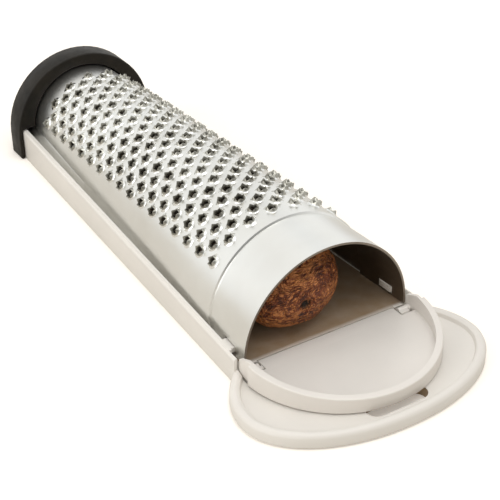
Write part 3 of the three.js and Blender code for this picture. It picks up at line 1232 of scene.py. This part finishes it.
@dataclass(frozen=True)
class Wrinkles:
    """One layer of relief in the nutmeg's bark."""

    name: str
    pattern: str
    size: float
    depth: float
    level: float  # the pattern's value that stays where it is

    def press(self, seed: Object) -> None:
        """Presses the layer into the bark.

        Args:
            seed: The nutmeg.
        """
        texture = bpy.data.textures.new(self.name, self.pattern)
        texture.noise_scale = self.size * MM
        apply_modifier(seed, "DISPLACE", texture=texture, strength=self.depth * MM, mid_level=self.level)


@dataclass
class Nutmeg:
    """One whole nutmeg: a blunt egg with a wrinkled bark and a dark scar at its front end."""

    half_width: float = 9.52
    half_length: float = 12.38
    smaller: float = 0.985  # which leaves room for the wrinkles
    yaw: float = -78.0
    blunt: float = 0.04
    segments: int = 128
    rings: int = 80
    wrinkles: tuple[Wrinkles, ...] = (
        Wrinkles("bark_folds", "CLOUDS", size=5.0, depth=0.5, level=0.6),
        Wrinkles("bark_net", "VORONOI", size=1.7, depth=0.35, level=0.4),
    )
    scar_towards: Triple = (-0.15, -0.98, -0.05)
    scar_radius: float = 2.0
    scar_depth: float = 1.1
    lip_reach: float = 1.6  # in the scar's radius
    lip_height: float = 0.25

    def make_egg(self) -> Object:
        """Makes the smooth egg, lying along Y at the origin and thicker towards its back.

        Returns:
            The egg.
        """
        deselect()
        bpy.ops.mesh.primitive_uv_sphere_add(segments=self.segments, ring_count=self.rings, radius=1.0)
        seed = named("nutmeg_seed")
        half = self.half_width * self.smaller
        size = Vector((half, self.half_length * self.smaller, half)) * MM
        with editing(seed):
            bpy.ops.transform.rotate(value=math.radians(90), orient_axis="X", center_override=ORIGIN)
            bpy.ops.transform.resize(value=size, center_override=ORIGIN)
        for vert in seed.data.vertices:
            share = 1.0 + self.blunt * vert.co.y / (self.half_length * MM)
            vert.co.x *= share
            vert.co.z *= share
        return seed

    def press_scar(self, seed: Object, centre: Vector) -> Vector:
        """Presses the round pit into the bark where the seed hung on its stalk.

        Args:
            seed: The nutmeg.
            centre: Its middle, in metres.

        Returns:
            The middle of the pit, in metres.
        """
        towards = Vector(self.scar_towards).normalized()
        facing = max(seed.data.vertices, key=lambda vert: (vert.co - centre).normalized().dot(towards))
        pit = facing.co.copy()
        for vert in seed.data.vertices:
            share = (vert.co - pit).length / (self.scar_radius * MM)
            if share < 1.0:
                vert.co -= towards * self.scar_depth * MM * (1.0 - share * share) ** 2
            elif share < self.lip_reach:
                rise = math.sin((share - 1.0) / (self.lip_reach - 1.0) * math.pi)
                vert.co += towards * self.lip_height * MM * rise
        return pit - towards * self.scar_depth * MM

    def build(self) -> None:
        """Makes and dresses the nutmeg."""
        low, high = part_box("nutmeg")
        centre = (low + high) / 2
        seed = self.make_egg()
        for layer in self.wrinkles:
            layer.press(seed)
        with editing(seed):
            turn = -math.radians(self.yaw)
            bpy.ops.transform.rotate(value=turn, orient_axis="Z", center_override=ORIGIN)
            bpy.ops.transform.translate(value=centre)
        scar = self.press_scar(seed, centre)
        smooth(seed, angle=60)
        bark = NutmegBark("nutmeg_bark", lie=self.yaw, scar=scar).make()
        fit(seed, Body.NUTMEG, Slot.NUTMEG, bark, "nutmeg")


# The studio


@dataclass(frozen=True)
class Lamp:
    """One soft square lamp that looks at the grater."""

    name: str
    place: Triple
    size: float
    watts: float

    def make(self) -> None:
        """Adds the lamp to the scene."""
        data = bpy.data.lights.new(self.name, "AREA")
        data.size = self.size * MM
        data.energy = self.watts
        lamp = bpy.data.objects.new(self.name, data)
        lamp.location = Vector(self.place) * MM
        lamp.rotation_mode = "QUATERNION"
        lamp.rotation_quaternion = lamp.location.to_track_quat("Z", "Y")
        bpy.context.scene.collection.objects.link(lamp)


@dataclass
class Studio:
    """A pale floor, soft light and the camera at the photo's angle."""

    turn: float = -0.556
    height: float = 0.563
    roll: float = -0.013
    distance: float = 311.4
    target: Triple = (5.6, -6.3, 2.4)
    lens: float = 93.6
    nearest: float = 10.0
    lamps: tuple[Lamp, ...] = (
        Lamp("key", (50.0, -220.0, 850.0), size=550.0, watts=2.3),
        Lamp("fill", (-700.0, 20.0, 300.0), size=600.0, watts=1.84),
    )
    fill: float = 0.85
    horizon: Colour = (0.56, 0.505, 0.43)
    zenith: Colour = WHITE
    cards: Pattern = Pattern(3.2, 1.0, roughness=0.5)  # what the steel mirrors, around it
    reflected: tuple[Stop, ...] = (
        (0.38, (0.97, 0.985, 0.99)),
        (0.54, (1.12, 1.12, 1.10)),
    )
    viewer_side: Pair = (-0.92, -0.55)  # of the directions' Y, where the viewer stands
    viewer_shade: Pair = (0.22, 1.0)  # strength of the mirrored light there
    bounce: Colour = (0.74, 0.71, 0.655)
    floor_colour: Colour = (0.92, 0.885, 0.835)
    floor_lift: Colour = (0.24, 0.225, 0.205)
    floor_fades: Pair = (160.0, 300.0)
    floor_size: float = 6000.0
    floor_drop: float = 0.02

    def make_camera(self) -> None:
        """Makes the camera at the photo's viewing angle."""
        flat = math.cos(self.height)
        back = Vector((math.sin(self.turn) * flat, -math.cos(self.turn) * flat, math.sin(self.height)))
        right = (-back).cross(Vector((0.0, 0.0, 1.0))).normalized()
        up = right.cross(-back)
        cos, sin = math.cos(self.roll), math.sin(self.roll)
        turned = Matrix((right * cos + up * sin, up * cos - right * sin, back)).transposed().to_4x4()
        turned.translation = Vector(self.target) * MM + back * self.distance * MM
        data = bpy.data.cameras.new("camera")
        data.lens = self.lens
        data.clip_start = self.nearest * MM
        camera = bpy.data.objects.new("camera", data)
        camera.matrix_world = turned
        bpy.context.scene.collection.objects.link(camera)
        bpy.context.scene.camera = camera

    def make_world(self) -> None:
        """Makes the soft surrounding light, with a white backdrop for the camera and for steel."""
        world = bpy.data.worlds.new("studio")
        bpy.context.scene.world = world
        board = NodeBoard(world)
        direction = board.add("TexCoord").outputs["Generated"]
        axes = board.add("SeparateXYZ", {"Vector": direction}).outputs
        rays = board.add("LightPath").outputs
        sky = board.ramp(axes["Z"], (0.0, self.horizon), (1.0, self.zenith))
        soft = board.add("Background", {"Color": sky, "Strength": self.fill}).outputs["Background"]
        mirrored = {
            "Color": board.ramp(board.noise(direction, self.cards), *self.reflected),
            "Strength": board.mapped(axes["Y"], self.viewer_side, self.viewer_shade),
        }
        shine = board.add("Background", mirrored).outputs["Background"]
        white = board.shader("Background", WHITE)
        unseen = board.mixed(rays["Is Glossy Ray"], soft, shine)
        board.end(board.mixed(rays["Is Camera Ray"], unseen, white))

    def make_floor(self) -> None:
        """Makes the pale floor that keeps the grater's shadow.

        It fades to white further away, and is clear from below.
        """
        deselect()
        bpy.ops.mesh.primitive_plane_add(
            size=self.floor_size * MM, location=(0.0, 0.0, -self.floor_drop * MM)
        )
        floor = named("floor")
        board = NodeBoard(bpy.data.materials.new("floor_white"))
        camera = board.add("LightPath").outputs["Is Camera Ray"]
        plain = board.shader("BsdfDiffuse", self.bounce)
        bright = board.shader("BsdfDiffuse", self.floor_colour)
        lift = board.shader("Emission", self.floor_lift)
        lifted = board.add("AddShader", {0: bright, 1: lift}).outputs["Shader"]
        away = board.add("VectorMath", {0: board.place()}, operation="LENGTH").outputs["Value"]
        far = board.mapped(away, metres(self.floor_fades))
        surface = board.mixed(camera, plain, lifted)
        surface = board.mixed(board.calc("MULTIPLY", far, camera), surface, board.shader("Emission", WHITE))
        below = board.add("NewGeometry").outputs["Backfacing"]
        board.end(board.mixed(below, surface, board.shader("BsdfTransparent", WHITE)))
        floor.data.materials.append(board.owner)

    def build(self) -> None:
        """Makes the camera, the surroundings, the lamps and the floor."""
        bpy.context.scene.view_settings.view_transform = "Standard"
        self.make_camera()
        self.make_world()
        for lamp in self.lamps:
            lamp.make()
        self.make_floor()


def main() -> None:
    """Builds the studio and every piece."""
    logging.basicConfig(level=logging.INFO, format="%(message)s")
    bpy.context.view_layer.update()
    for maker in (Studio(), GraterSheet(), Tray(), Lid(), EndCap(), Nutmeg()):
        maker.build()
        log.info("%s done", type(maker).__name__)
    deselect()


if __name__ == "__main__":
    main()
